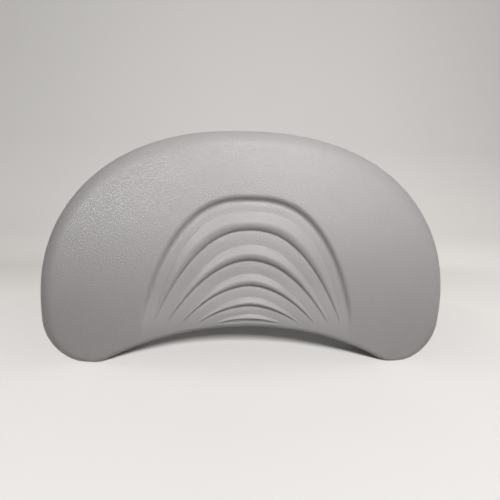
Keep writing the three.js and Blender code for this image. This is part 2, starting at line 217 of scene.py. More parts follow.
@named
class StageSetting(bpy.types.PropertyGroup):
    """Camera, lamps and the paper sweep"""

    azimuth: turn(-4.42, "Camera's turn round the pillow")
    elevation: turn(5.0, "Camera's height over the horizon")
    roll: turn(1.44, "Camera's tilt about its own axis")
    distance: length(284.5, "Camera to its target")
    target: FloatVectorProperty(
        description="Point that the camera looks at", default=(0.0011, -0.005, 0.0846),
        size=3, precision=5, unit="LENGTH", subtype="TRANSLATION",
    )
    lens: FloatProperty(description="Focal length", default=27.0, unit="CAMERA")
    key: power(1.57, "Softbox over the face")
    rear: power(5.0, "Lamp behind the pillow")
    window: power(2.1, "Sheen from the front")
    side: power(3.1, "Sheen from the side")
    right: power(0.2, "Lamp low at the right")
    left: power(0.09, "Lamp low at the left")
    paper_key: power(54.0, "Lamp for the paper alone")
    fill: factor(0.125, "Strength of the room's light from above")
    room: factor(0.6, "How pale the room looks past the paper")
    paper: colour((0.72, 0.70, 0.685), "Paper sweep under and behind")
    paper_bounce: factor(0.07, "Share of its colour that the paper throws back")
    # Painted light: how strongly the paper glows far from the pillow
    paper_painted_glow: factor(0.29, "How much paler the paper is far behind the pillow")


@named
class BathPillow(bpy.types.PropertyGroup):
    """All that can be set on the bath pillow"""

    form: PointerProperty(type=PillowForm)
    fan: PointerProperty(type=FanForm)
    back: PointerProperty(type=BackForm)
    finish: PointerProperty(type=Finishes)
    stage: PointerProperty(type=StageSetting)


# Steps along an arch of the fan and along its legs to the neck arch, rows of the plain face, of the
# groove and of the gap above a ridge, and rows of the edge's roll, the side wall and the back edge
ARCH_STEPS, LEG_STEPS = 220, 8
PLAIN_ROWS, GROOVE_ROWS, GAP_ROWS = 24, 14, 9
ROLL_STEPS, WALL_STEPS, EDGE_STEPS = 12, 4, 4

# Columns of the plain face that bend to the neck arch at either end
HIP_COLUMNS = 4 * LEG_STEPS

# Ridges, and the rows across one from its lip to its crease: first, last and count of each run
RIDGE_COUNT = 5
RIDGE_RUNS = ((0, 0.06, 5), (0.12, 0.34, 4), (0.38, 0.74, 10), (0.78, 0.94, 5), (0.96, 1, 4))

# How soon a gap is as deep as the field, and how fast the first ridge's crest and lip fall off
GAP_POWER, CREST_POWER, LIP_POWER = 4, 2, 4

# Grain left on a polished ridge, and the shares of its width and of its taper over which the full
# grain comes back at its edges and tips
RIDGE_GRAIN, GRAIN_EDGE, GRAIN_TIP = 0.2, 0.08, 0.15

# Points of the hip, lobe, top and fan arch before they are spaced evenly
HIP_POINTS, LOBE_POINTS, TOP_POINTS, FAN_POINTS = 40, 240, 900, 4001

# Stations of the back sheet's edge, over the top and along the neck arch
SHEET_TOP, SHEET_NECK = 441, 122

# Steps round a turned piece, a screw, its hole, a keyhole's entry and slot, and out along a bell
ROUND_STEPS, SCREW_STEPS, HOLE_STEPS = 96, 48, 32
ENTRY_STEPS, SLOT_STEPS, BELL_STEPS = 64, 32, 25

# Points nearer than this are one point
SAME_POINT = 1e-6


def smooth(value):
    """Soft step from 0 to 1."""
    t = np.clip(value, 0.0, 1.0)
    return t * t * (3 - 2 * t)


def lerp(a, b, t):
    """What lies a share t of the way from a to b."""
    return a + (b - a) * t


def evenly(columns, count):
    """Columns of a line, x and z first, at evenly spaced points along it."""
    along = np.concatenate([[0], np.cumsum(np.hypot(np.diff(columns[0]), np.diff(columns[1])))])
    even = np.linspace(0, along[-1], count)
    return [np.interp(even, along, column) for column in columns]


# Outline and face of the moulding

class Moulding:
    """Outline and face of the pillow, from the driving sizes. Depths are from the back."""

    def __init__(self, form, fan):
        self.form, self.fan = form, fan
        self.lobe_x = form.width / 2 - form.lobe_radius
        self.lobe_z = form.lobe_radius - form.foot_cut
        reach = self.lobe_z - form.arch_rise
        self.arch_radius = (self.lobe_x ** 2 + reach ** 2 - form.lobe_radius ** 2) / (
            2 * (form.lobe_radius - reach))
        self.arch_z = form.arch_rise - self.arch_radius
        self.lobe_start = math.atan2(self.lobe_x, self.lobe_z - self.arch_z)
        self.rim_radius = self.arch_radius + form.arch_roll
        self.fan_base = form.arch_rise + form.arch_roll + fan.base_gap
        self.fan_half = self.arch_radius * math.sin(self.lobe_start) - fan.side_gap
        self.fan_rise = form.height - fan.top_gap - self.fan_base

    def depth(self, x, z):
        """How thick the pillow is at a point of its face, before the groove and ridges."""
        form = self.form
        up = np.maximum(0.0, z - form.crown_height) / (form.height - form.crown_height)
        down = np.maximum(0.0, form.crown_height - z) / form.crown_height
        fall = form.crown_fall_up * up ** 2 + form.crown_fall_down * down ** 2
        return form.crown_depth - fall - form.crown_fall_across * (x / (form.width / 2)) ** 2

    def on_arch(self, angles):
        """Stations of the neck arch: rows of x, z, outward x, outward z and the roll's radius."""
        nx, nz = -np.sin(angles), -np.cos(angles)
        roll = np.full_like(angles, self.form.arch_roll)
        x, z = -self.arch_radius * nx, self.arch_z - self.arch_radius * nz
        return np.stack([x, z, nx, nz, roll], axis=1)

    def rim_angle(self, x):
        """Turn along the neck arch at which the roll meets the face at x."""
        return np.arcsin(x / self.rim_radius)

    def rim_z(self, x):
        """Height at which the face meets the roll of the neck arch."""
        return self.arch_z + np.sqrt(self.rim_radius ** 2 - x ** 2)

    def half_round(self, hip, count):
        """Stations from the hip of the right lobe over the lobe to the middle of the top."""
        form = self.form
        hips = self.on_arch(np.linspace(hip, self.lobe_start, HIP_POINTS, endpoint=False))
        angle = np.linspace(-self.lobe_start, math.pi / 2, LOBE_POINTS, endpoint=False)
        turned = (angle + self.lobe_start) / (math.pi / 2 + self.lobe_start)
        nx, nz = np.sin(angle), -np.cos(angle)
        roll = lerp(form.arch_roll, form.top_roll, smooth(turned))
        lobe_z = np.maximum(0.0, self.lobe_z + form.lobe_radius * nz)
        lobe = np.stack([self.lobe_x + form.lobe_radius * nx, lobe_z, nx, nz, roll], axis=1)
        angle = np.linspace(0, math.pi / 2, TOP_POINTS)
        half, rise = form.width / 2, form.height - self.lobe_z
        across = np.cos(angle).clip(0) ** (2 / form.top_fullness)
        up = np.sin(angle) ** (2 / form.top_fullness)
        nx = across ** (form.top_fullness - 1) / half
        nz = up ** (form.top_fullness - 1) / rise
        size = np.hypot(nx, nz)
        roll = np.full_like(angle, form.top_roll)
        top = np.stack([half * across, self.lobe_z + rise * up, nx / size, nz / size, roll], axis=1)
        line = np.stack(evenly(np.concatenate([hips, lobe, top]).T, count), axis=1)
        line[:, 2:4] /= np.hypot(line[:, 2], line[:, 3])[:, None]
        return line

    def round_over(self, hip, count):
        """Stations from the right hip over the top to the left hip, an odd count of them."""
        right = self.half_round(hip, count // 2 + 1)
        left = right[-2::-1] * np.array([-1, 1, -1, 1, 1])
        return np.concatenate([right, left])

    def arch_points(self, half, rise, fullness, footing, steps):
        """Evenly spaced points of one arch of the fan, from its right foot to its left foot."""
        side = np.cos(np.linspace(0, math.pi, FAN_POINTS))
        up = np.maximum(0.0, 1 - np.abs(side) ** fullness) ** (1 / footing)
        return evenly((half * side, self.fan_base + rise * up), steps + 1)


def inset(stations, amount):
    """x and z of the stations, moved in from the outline and kept over the floor."""
    x = stations[:, 0] - stations[:, 2] * amount
    z = np.maximum(0.0, stations[:, 1] - stations[:, 3] * amount)
    return x, z


def arc(p, steepest):
    """Fall of a round edge from level to its steepest, from 0 to 1."""
    return (1 - np.sqrt(1 - (steepest * p) ** 2)) / (1 - math.sqrt(1 - steepest ** 2))


def groove_profile(p, bend=0.56, steepest=0.87):
    """Fall of the face into the groove: a round shoulder as far as the bend, then a round foot."""
    shoulder = bend * arc(np.minimum(p, bend) / bend, steepest)
    foot = (1 - bend) * arc((1 - np.maximum(p, bend)) / (1 - bend), steepest)
    return shoulder + (1 - bend) - foot


def ridge_profile(p, crest, lip, dip, land_tilt, crease_tilt=0.98, lip_width=0.05):
    """Section of a ridge: a small step, a sloping land, a crest and a round fall to the crease."""
    land = lip * smooth(p / lip_width) + (1 - lip) * np.clip(p / crest, 0, 1)
    fall = np.clip((p - crest) / (1 - crest), 0, 1)
    level = np.sqrt(1 - (land_tilt - fall * (land_tilt + crease_tilt)) ** 2)
    first, last = math.sqrt(1 - land_tilt ** 2), math.sqrt(1 - crease_tilt ** 2)
    return land - (1 + dip) * (first - level) / (first - last)


def ridge_rows(moulding, ridge):
    """Rows of one ridge from its lip to its crease."""
    fan = moulding.fan
    share = 1 - ridge / RIDGE_COUNT
    half = (moulding.fan_half - fan.ridge_inset) * share ** fan.spread_power
    rise = (moulding.fan_rise - fan.ridge_gap) * share ** fan.spacing_power
    band = fan.ridge_band * share ** fan.band_power
    lift = fan.ridge_lift * share ** fan.lift_power
    gain = fan.ridge_fullness_gain * share ** fan.ridge_fullness_power
    crest = fan.crest_place + fan.crest_shift * share ** CREST_POWER
    lip = fan.lip_share + fan.lip_gain * share ** LIP_POWER
    slope = (1 - lip) * lift / (crest * band)
    across = np.concatenate([np.linspace(*run) for run in RIDGE_RUNS])
    heights = lift * ridge_profile(
        across, crest, lip, fan.crease_dip / lift, math.sin(math.atan(slope)))
    return [
        [half + fan.ridge_tip * (0.5 - p), rise - band * p,
         fan.ridge_fullness + gain * (1 - fan.crease_fullness_loss * p), 1.0,
         fan.field_depth, height,
         lerp(RIDGE_GRAIN, 1.0, smooth(1 - min(p, 1 - p) / GRAIN_EDGE))]
        for p, height in zip(across, heights)
    ]


def fan_rows(moulding):
    """Rows of the fan from outside in: half, rise, fullness, footing, sunk, raised, grain."""
    fan = moulding.fan
    rows = []
    for p in np.linspace(0, 1, GROOVE_ROWS):
        outside = fan.groove_roll * (1 - p)
        rows.append([
            moulding.fan_half + outside, moulding.fan_rise + outside, fan.groove_fullness,
            fan.groove_footing, fan.groove_depth * groove_profile(p), 0.0, 1.0,
        ])
    for ridge in range(RIDGE_COUNT):
        ridged = ridge_rows(moulding, ridge)
        before, after = np.array(rows[-1]), np.array(ridged[0])
        for q in np.linspace(0, 1, GAP_ROWS + 2)[1:-1]:
            between = lerp(before, after, q)
            between[4:6] = lerp(before[4:6], after[4:6], 1 - (1 - q) ** GAP_POWER)
            rows.append(list(between))
        rows.extend(ridged)
    return np.array(rows)


class Shell:
    """Points and four-sided faces, laid grid by grid."""

    def __init__(self):
        self.points, self.faces, self.marks, self.count = [], [], [], 0

    def lay(self, x, y, z, mark=1.0):
        """Adds points of one shape and returns their numbers in that shape."""
        x, y, z, mark = np.broadcast_arrays(x, y, z, mark)
        self.points.append(np.stack([x.ravel(), y.ravel(), z.ravel()], axis=1))
        self.marks.append(mark.ravel())
        self.count += x.size
        return np.arange(self.count - x.size, self.count).reshape(x.shape)

    def weave(self, grid):
        """Faces between the neighbouring rows of a grid of point numbers."""
        corners = [grid[:-1, :-1], grid[:-1, 1:], grid[1:, 1:], grid[1:, :-1]]
        self.faces.append(np.stack([c.ravel() for c in corners], axis=1))

    def ring(self, outer, inner):
        """Faces between two closed rings of equally many points."""
        self.weave(np.stack([np.append(outer, outer[0]), np.append(inner, inner[0])]))

    def grow(self, ring, x, y, z):
        """Adds a ring of points, joined to the ring before it."""
        further = self.lay(x, y, z)
        self.ring(ring, further)
        return further

    def object(self, name):
        points = np.concatenate(self.points) + np.array([0.0, BACK_PLANE, 0.0])
        faces = np.concatenate(self.faces)
        mesh = bpy.data.meshes.new(name)
        mesh.from_pydata(points.tolist(), [], faces.tolist())
        marks = mesh.attributes.new("grain", "FLOAT", "POINT")
        marks.data.foreach_set("value", np.concatenate(self.marks).astype(np.float32))
        return finish_mesh(name, mesh)


def add(name, data):
    """A new object of a mesh, curve, lamp or camera, in the scene."""
    made = bpy.data.objects.new(name, data)
    bpy.context.scene.collection.objects.link(made)
    return made


def evaluated(made):
    """A mesh of what an object's curve or modifiers come to."""
    graph = bpy.context.evaluated_depsgraph_get()
    return bpy.data.meshes.new_from_object(made.evaluated_get(graph))


def finish_mesh(name, mesh, merge=False):
    """An object of a mesh, with its faces turned outwards and shaded smooth."""
    work = bmesh.new()
    work.from_mesh(mesh)
    if merge:
        bmesh.ops.remove_doubles(work, verts=work.verts, dist=SAME_POINT)
    bmesh.ops.recalc_face_normals(work, faces=work.faces)
    work.to_mesh(mesh)
    work.free()
    for face in mesh.polygons:
        face.use_smooth = True
    return add(name, mesh)


def lay_face(shell, moulding, wall, relief):
    """Lays the face, a wall's thickness under the outside, and returns its rim and stations.

    Without its relief, the face still sinks with the field of the fan."""
    fan = moulding.fan
    rows = fan_rows(moulding)

    # Arches of the fan with straight legs down to the roll of the neck arch
    share = np.linspace(0, 1, ARCH_STEPS + 1)
    taper = np.maximum(0, 1 - np.abs(2 * share - 1) ** fan.ridge_taper)
    legs = np.arange(LEG_STEPS) / LEG_STEPS
    fan_x, fan_z, fan_over, fan_mark = [], [], [], []
    for half, rise, fullness, footing, sunk, raised, mark in rows:
        x, z = moulding.arch_points(half, rise, fullness, footing, ARCH_STEPS)
        over = raised * taper * relief - sunk * smooth((z - moulding.rim_z(x)) / fan.field_fade)
        marks = lerp(1.0, mark, smooth(taper / GRAIN_TIP))
        leg_z = lerp(moulding.rim_z(half), moulding.fan_base, legs)
        leg_over = -sunk * smooth((leg_z - leg_z[0]) / fan.field_fade)
        still = np.zeros(LEG_STEPS)
        fan_x.append(np.concatenate([still + half, x, still - half]))
        fan_z.append(np.concatenate([leg_z, z, leg_z[::-1]]))
        fan_over.append(np.concatenate([leg_over, over, leg_over[::-1]]))
        fan_mark.append(np.concatenate([still + 1, marks, still + 1]))
    fan_x, fan_z, fan_over, fan_mark = map(np.array, (fan_x, fan_z, fan_over, fan_mark))

    # Plain face between the outline's roll and the fan, with its ends on the neck arch's roll
    hip = (moulding.rim_angle(fan_x[0, 0]) + moulding.lobe_start) / 2
    over_top = moulding.round_over(hip, fan_x.shape[1])
    rim_x, rim_z = inset(over_top, over_top[:, 4])
    step = np.linspace(0, 1, PLAIN_ROWS + 1)[:-1, None]
    plain_x = lerp(rim_x[None], fan_x[:1], step)
    plain_z = lerp(rim_z[None], fan_z[:1], step)
    turned = lerp(hip, moulding.rim_angle(fan_x[0, 0]), step[:, 0])
    end_x = moulding.rim_radius * np.sin(turned)
    end_z = moulding.arch_z + moulding.rim_radius * np.cos(turned)
    near = smooth(1 - np.arange(fan_x.shape[1]) / HIP_COLUMNS)[None]
    shift_x, shift_z = (end_x - plain_x[:, 0])[:, None], (end_z - plain_z[:, 0])[:, None]
    plain_x = plain_x + shift_x * (near - near[:, ::-1])
    plain_z = plain_z + shift_z * (near + near[:, ::-1])

    all_x, all_z = np.concatenate([plain_x, fan_x]), np.concatenate([plain_z, fan_z])
    over = np.concatenate([np.zeros_like(plain_x), fan_over])
    mark = np.concatenate([np.ones_like(plain_x), fan_mark])
    grid = shell.lay(all_x, -moulding.depth(all_x, all_z) + wall - over, all_z, mark)
    shell.weave(grid)

    # Patch under the last crease, in columns down to the neck arch's roll
    last = slice(LEG_STEPS + 1, LEG_STEPS + ARCH_STEPS)
    column_x, top_z, top_over = fan_x[-1, last], fan_z[-1, last], over[-1, last]
    column_rim = moulding.rim_z(column_x)
    down = legs[:, None]
    patch_x, patch_z = np.broadcast_arrays(column_x[None], lerp(column_rim, top_z, down))
    patch_y = -moulding.depth(patch_x, patch_z) + wall - top_over * smooth(down)
    patch = shell.lay(patch_x, patch_y, patch_z)
    patch = np.concatenate([patch, grid[-1:, last]])
    right, left = grid[-1, :LEG_STEPS + 1], grid[-1, -LEG_STEPS - 1:][::-1]
    shell.weave(np.concatenate([right[:, None], patch, left[:, None]], axis=1))

    # Rim all round: over the top to the left, then along the neck arch back to the right
    rim = np.concatenate([grid[0], grid[1:, -1], patch[0, ::-1], grid[:0:-1, 0]])
    neck_x = np.concatenate([all_x[1:, -1], column_x[::-1], all_x[:0:-1, 0]])
    stations = np.concatenate([over_top, moulding.on_arch(moulding.rim_angle(neck_x))])
    return rim, stations


def lay_roll(shell, moulding, rim, stations, wall):
    """Lays the rolled edge from the rim of the face outwards and returns its last ring."""
    ring = rim
    radius = stations[:, 4] - wall
    for angle in np.linspace(math.pi / 2, 0, ROLL_STEPS + 1)[1:]:
        x, z = inset(stations, wall + radius * (1 - math.cos(angle)))
        y = -moulding.depth(x, z) + wall + radius * (1 - math.sin(angle))
        ring = shell.grow(ring, x, y, z)
    return ring, (x, y, z)


def make_face_skin(form, fan):
    """Closed shell of the face skin: outside with its relief, rolled edge, back edge, inside."""
    moulding = Moulding(form, fan)
    shell = Shell()
    rim, stations = lay_face(shell, moulding, 0.0, True)
    ring, (x, y, z) = lay_roll(shell, moulding, rim, stations, 0.0)
    for step in np.linspace(0, 1, WALL_STEPS + 1)[1:]:
        ring = shell.grow(ring, x, lerp(y, -form.back_edge, step), z)
    for angle in np.linspace(0, math.pi / 2, EDGE_STEPS + 1)[1:]:
        x, z = inset(stations, form.back_edge * (1 - math.cos(angle)))
        ring = shell.grow(ring, x, -form.back_edge * (1 - math.sin(angle)), z)
    inner_rim, stations = lay_face(shell, moulding, form.skin, False)
    inner, _ = lay_roll(shell, moulding, inner_rim, stations, form.skin)
    x, z = inset(stations, form.skin)
    land = shell.grow(ring, x, 0.0, z)
    shell.ring(land, inner)
    return shell.object("face_skin_grained")


# Flat pieces and turned pieces of the back

def flat_piece(name, loops, thickness, edge, back):
    """A sheet with rounded edges, cut to closed loops of (x, z), whose back lies at a depth."""
    curve = bpy.data.curves.new(name, "CURVE")
    curve.dimensions, curve.fill_mode = "2D", "BOTH"
    curve.extrude, curve.bevel_depth = thickness / 2 - edge, edge
    curve.offset, curve.bevel_resolution = -edge, 3
    for loop in loops:
        count = len(loop)
        spline = curve.splines.new("POLY")
        spline.points.add(count - 1)
        spline.points.foreach_set("co", np.c_[loop, np.zeros(count), np.ones(count)].ravel())
        spline.use_cyclic_u = True
    drawn = add(name + "_drawn", curve)
    mesh = evaluated(drawn)
    bpy.data.objects.remove(drawn)
    bpy.data.curves.remove(curve)
    middle = BACK_PLANE + back - thickness / 2
    mesh.transform(Matrix.Translation((0, middle, 0)) @ Matrix.Rotation(math.pi / 2, 4, "X"))
    mesh.name = name
    made = finish_mesh(name, mesh, merge=True)
    made.modifiers.new("flat faces", "WEIGHTED_NORMAL").keep_sharp = False
    return made


def around(x, z, radius, angles):
    """Points of (x, z) at angles round a middle."""
    return np.c_[x + radius * np.cos(angles), z + radius * np.sin(angles)]


def circle(x, z, radius, steps=ROUND_STEPS):
    """A closed loop round a middle."""
    return around(x, z, radius, np.linspace(0, 2 * math.pi, steps, endpoint=False))


def keyhole(back, x, z):
    """Slot that seats the neck above, and the round hole that lets the head in below."""
    seat = back.travel / 2
    corner = math.asin(back.slot_radius / back.entry_radius)
    entry = np.linspace(math.pi / 2 + corner, 5 * math.pi / 2 - corner, ENTRY_STEPS)
    slot = np.linspace(0, math.pi, SLOT_STEPS)
    return np.concatenate([
        around(x, z - seat, back.entry_radius, entry),
        around(x, z + seat, back.slot_radius, slot),
    ])


def turned_piece(name, profile, x, z, steps=ROUND_STEPS):
    """A closed piece turned about an axis along Y from a profile of (radius, depth)."""
    work = bmesh.new()
    rings = []
    for radius, y in profile:
        loop = circle(x, z, radius, steps) if radius > SAME_POINT else [(x, z)]
        rings.append([work.verts.new((px, BACK_PLANE + y, pz)) for px, pz in loop])
    for one, other in zip(rings, rings[1:]):
        for i in range(steps):
            corners = ((one, i), (one, i + 1), (other, i + 1), (other, i))
            points = [ring[k % len(ring)] for ring, k in corners]
            work.faces.new(list(dict.fromkeys(points)))
    mesh = bpy.data.meshes.new(name)
    work.to_mesh(mesh)
    work.free()
    return finish_mesh(name, mesh)


def rounded(profile, radius, steps=5, most=0.45):
    """A profile whose corners are rounded, by a radius or at most a share of their sides."""
    points = [Vector(p) for p in profile]
    out = [points[0]]
    for before, corner, after in zip(points, points[1:], points[2:]):
        into, away = before - corner, after - corner
        reach = min(radius, most * into.length, most * away.length)
        start, end = corner + into.normalized() * reach, corner + away.normalized() * reach
        for t in np.linspace(0, 1, steps + 1):
            out.append(start.lerp(corner, t).lerp(corner.lerp(end, t), t))
    out.append(points[-1])
    return [tuple(p) for p in out]


def middle_of(node):
    """Middle of a solid's box."""
    low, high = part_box(node)
    return (low + high) / 2


def settle(piece, body, slot, material, *nodes):
    """A piece rides on its body, stands for its solids and takes its finish."""
    piece.data.materials.clear()
    piece.data.materials.append(material)
    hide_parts(*nodes)
    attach(piece, body)


# Finishes

# Rays that see the paper and the room in full
SEEN_RAYS = ("Is Camera Ray", "Is Glossy Ray", "Is Transmission Ray")

# Range in which most of a noise lies
NOISE_SPAN = (0.3, 0.7)


class Nodes:
    """A node tree, whose nodes are added and linked by name."""

    def __init__(self, tree):
        self.tree = tree

    def node(self, kind, settings=None, **inputs):
        made = self.tree.nodes.new(kind)
        for name, value in (settings or {}).items():
            setattr(made, name, value)
        for name, value in inputs.items():
            self.put(made.inputs[name.replace("_", " ")], value)
        return made

    def put(self, socket, value):
        """Links a socket to a value's socket, or sets it to the value."""
        if isinstance(value, bpy.types.NodeSocket):
            self.tree.links.new(value, socket)
        else:
            socket.default_value = value

    def worked(self, kind, operation, *values):
        """Outputs of a node that works on values, in the order of its inputs."""
        made = self.node(kind, {"operation": operation})
        for socket, value in zip(made.inputs, values):
            self.put(socket, value)
        return made.outputs

    def maths(self, operation, *values):
        return self.worked("ShaderNodeMath", operation, *values)[0]

    def vectors(self, operation, *values):
        return self.worked("ShaderNodeVectorMath", operation, *values)

    def mapped(self, value, span, to, soft=False):
        """A value that runs over a span, carried to another span."""
        made = self.node(
            "ShaderNodeMapRange", {"interpolation_type": "SMOOTHSTEP" if soft else "LINEAR"},
            Value=value, From_Min=span[0], From_Max=span[1], To_Min=to[0], To_Max=to[1])
        return made.outputs["Result"]


class Finish(Nodes):
    """A material on the Principled shader, with textures in the object's own space."""

    def __init__(self, name, base, roughness):
        self.material = bpy.data.materials.new(name)
        self.material.use_nodes = True
        super().__init__(self.material.node_tree)
        self.base = tuple(base)
        self.sockets = self.tree.nodes["Principled BSDF"].inputs
        self.set(Base_Color=(*base, 1.0), Roughness=roughness)
        self.place = self.node("ShaderNodeTexCoord").outputs["Object"]

    def set(self, **values):
        """Sets or links the shader's sockets."""
        for name, value in values.items():
            self.put(self.sockets[name.replace("_", " ")], value)

    def noise(self, size, detail=2.0, output="Fac"):
        made = self.node(
            "ShaderNodeTexNoise", Vector=self.place, Scale=1 / size, Detail=detail)
        return made.outputs[output]

    def blend(self, first, weight, second, other_weight):
        """Sum of two values, each times its weight."""
        return self.maths(
            "ADD", self.maths("MULTIPLY", first, weight),
            self.maths("MULTIPLY", second, other_weight))

    def shades(self, value, dark, light):
        """A colour between two shades of the base, by a value from 0 to 1."""
        mixed = self.node("ShaderNodeMix", {"data_type": "RGBA"}, Factor=value)
        for socket, shade in ((mixed.inputs[6], dark), (mixed.inputs[7], light)):
            socket.default_value = (*(min(1.0, c * shade) for c in self.base), 1.0)
        self.set(Base_Color=mixed.outputs[2])

    def bump(self, height, strength, depth):
        made = self.node("ShaderNodeBump", Height=height, Strength=strength, Distance=depth)
        self.set(Normal=made.outputs["Normal"])


def leather(name, base, grain, marked):
    """Satin polyurethane with a fine leather grain, smoother where the ridges were polished."""
    finish = Finish(name, base, 0.46)
    wander, reach = finish.noise(3 * grain, output="Color"), 0.7 * grain
    moved = finish.vectors("MULTIPLY_ADD", wander, (reach, reach, reach), finish.place)["Vector"]
    flat = finish.vectors("MULTIPLY", moved, (0.75, 1.0, 1.0))["Vector"]
    cells = finish.node(
        "ShaderNodeTexVoronoi", {"feature": "DISTANCE_TO_EDGE"}, Vector=flat, Scale=1 / grain)
    pebble = finish.mapped(cells.outputs["Distance"], (0.0, 0.22), (0.0, 1.0), soft=True)
    height = finish.blend(pebble, 0.7, finish.noise(0.35 * grain, 3.0), 0.5)
    if marked:
        mask = finish.node("ShaderNodeAttribute", {"attribute_name": "grain"})
        height = finish.maths("MULTIPLY", height, mask.outputs["Fac"])
    finish.bump(height, strength=0.36, depth=0.3 * MM)
    drift = finish.noise(30 * MM, 3.0)
    # The tone drifts at random, and painted shade darkens the creases of the grain
    finish.shades(finish.blend(drift, 0.6, pebble, 0.4), dark=0.93, light=1.04)
    worn = finish.mapped(pebble, (0.0, 1.0), (0.18, -0.09))
    finish.set(Roughness=finish.maths("ADD", finish.mapped(drift, NOISE_SPAN, (0.38, 0.46)), worn))
    return finish.material


def foam_finish(base):
    """Open-celled foam: round pits, with painted shade in them."""
    finish = Finish("open_foam", base, 0.95)
    cells = finish.node("ShaderNodeTexVoronoi", Vector=finish.place, Scale=1 / (0.9 * MM))
    pits = finish.mapped(cells.outputs["Distance"], (0.1, 0.6), (0.0, 1.0), soft=True)
    finish.bump(pits, strength=0.6, depth=0.4 * MM)
    # Painted shade: the colour is darker in the pits
    finish.shades(pits, dark=0.7, light=1.05)
    return finish.material


def moulded_plastic(name, base, roughness):
    """Moulded plastic with a fine spark texture."""
    finish = Finish(name, base, roughness)
    spark = finish.noise(0.35 * MM)
    finish.bump(spark, strength=0.25, depth=0.1 * MM)
    finish.shades(finish.noise(12 * MM), dark=0.92, light=1.08)
    finish.set(Roughness=finish.mapped(spark, NOISE_SPAN, (roughness - 0.06, roughness + 0.08)))
    return finish.material


def soft_vinyl(base):
    """Soft clear vinyl, a little cloudy."""
    finish = Finish("clear_vinyl", base, 0.18)
    finish.set(Transmission_Weight=0.8, IOR=1.5)
    cloud = finish.noise(6 * MM, 3.0)
    finish.shades(cloud, dark=0.94, light=1.04)
    finish.set(Roughness=finish.mapped(cloud, NOISE_SPAN, (0.14, 0.26)))
    finish.bump(finish.noise(2.5 * MM), strength=0.1, depth=0.15 * MM)
    return finish.material


def turned_steel(base):
    """Stainless steel with fine scratches."""
    finish = Finish("turned_steel", base, 0.3)
    finish.set(Metallic=1.0)
    scratch = finish.noise(0.25 * MM, 4.0)
    finish.shades(scratch, dark=0.85, light=1.1)
    finish.set(Roughness=finish.mapped(scratch, NOISE_SPAN, (0.22, 0.4)))
    finish.bump(scratch, strength=0.12, depth=0.05 * MM)
    return finish.material


def paper_finish(base, bounce, painted_glow):
    """Matt studio paper, seen in full but throwing little light back on the pillow, with painted
    shade and a painted glow.
    """
    finish = Finish("studio_paper", base, 0.9)
    finish.set(Specular_IOR_Level=0.1)
    path = finish.node("ShaderNodeLightPath").outputs
    seen = 0.0
    for ray in SEEN_RAYS:
        seen = finish.maths("MAXIMUM", seen, path[ray])
    place = finish.node("ShaderNodeSeparateXYZ", Vector=finish.place).outputs

    # It throws more back from under the pillow, and painted shade makes it darker out in front, to
    # even out its lamp, which is near there
    under = finish.vectors("MULTIPLY", finish.place, (0.5, 1.0, 1.0))["Vector"]
    near = finish.mapped(finish.vectors("LENGTH", under)["Value"], (0.06, 0.15), (0.22, 0.0))
    painted_front_shade = finish.mapped(place["Y"], (-0.8, -0.05), (0.15, 1.0))
    lit = finish.maths("MULTIPLY", finish.maths("MAXIMUM", seen, near), painted_front_shade)
    cloud = finish.mapped(finish.noise(0.2), NOISE_SPAN, (-0.01, 0.01))
    finish.shades(finish.maths("ADD", lit, cloud), dark=bounce, light=1.0)

    # Painted light: it glows away from the pillow in two steps, less up the sweep and more to the
    # right
    away = finish.vectors("LENGTH", finish.place)["Value"]
    far = finish.maths(
        "ADD", finish.mapped(away, (0.1, 0.36), (0.0, painted_glow)),
        finish.mapped(away, (0.4, 0.8), (0.0, painted_glow / 3)))
    for axis, span, share, soft in (
        ("Z", (-0.02, 0.08), (1.0, 0.53), True),
        ("Z", (0.08, 0.4), (1.0, 0.48), False),
        ("X", (-0.6, 0.6), (0.7, 1.4), False),
    ):
        far = finish.maths("MULTIPLY", far, finish.mapped(place[axis], span, share, soft))
    warm = (base[0], 0.985 * base[1], 0.93 * base[2], 1.0)
    finish.set(Emission_Color=warm, Emission_Strength=finish.maths("MULTIPLY", far, seen))
    return finish.material


# Operators, one for each piece or group of like pieces

class BATHPILLOW_OT_face_skin(bpy.types.Operator):
    """Lay the grained face skin with its rolled edge, groove and crescent ridges"""

    bl_idname = "bath_pillow.face_skin"
    bl_label = "Face Skin"

    def execute(self, context):
        pillow = context.scene.bath_pillow
        skin = make_face_skin(pillow.form, pillow.fan)
        material = leather("grained_skin", pillow.finish.skin, pillow.finish.grain, True)
        settle(skin, "pillow", "skin", material, "face_skin")
        return {"FINISHED"}


class BATHPILLOW_OT_foam_core(bpy.types.Operator):
    """Cast the foam core, with its bay for the plate and pits for the sockets"""

    bl_idname = "bath_pillow.foam_core"
    bl_label = "Foam Core"

    def execute(self, context):
        cell, softness, rounds = 2.0 * MM, 0.5, 3
        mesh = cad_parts["foam_core"].data.copy()
        mesh.name = "foam_core_cast"
        foam = add("foam_core_cast", mesh)
        remesh = foam.modifiers.new("cells", "REMESH")
        remesh.mode, remesh.voxel_size, remesh.use_smooth_shade = "VOXEL", cell, True
        soften = foam.modifiers.new("soft edges", "SMOOTH")
        soften.factor, soften.iterations = softness, rounds
        cast = evaluated(foam)
        foam.modifiers.clear()
        foam.data = cast
        bpy.data.meshes.remove(mesh)
        material = foam_finish(context.scene.bath_pillow.finish.foam)
        settle(foam, "pillow", "foam", material, "foam_core")
        return {"FINISHED"}


class BATHPILLOW_OT_insert_plate(bpy.types.Operator):
    """Give the stiff plate in the foam its moulded finish"""

    bl_idname = "bath_pillow.insert_plate"
    bl_label = "Insert Plate"

    def execute(self, context):
        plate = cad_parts["insert_plate"]
        plate.data.materials.clear()
        base = context.scene.bath_pillow.finish.plate
        plate.data.materials.append(moulded_plastic("plate_plastic", base, 0.6))
        return {"FINISHED"}


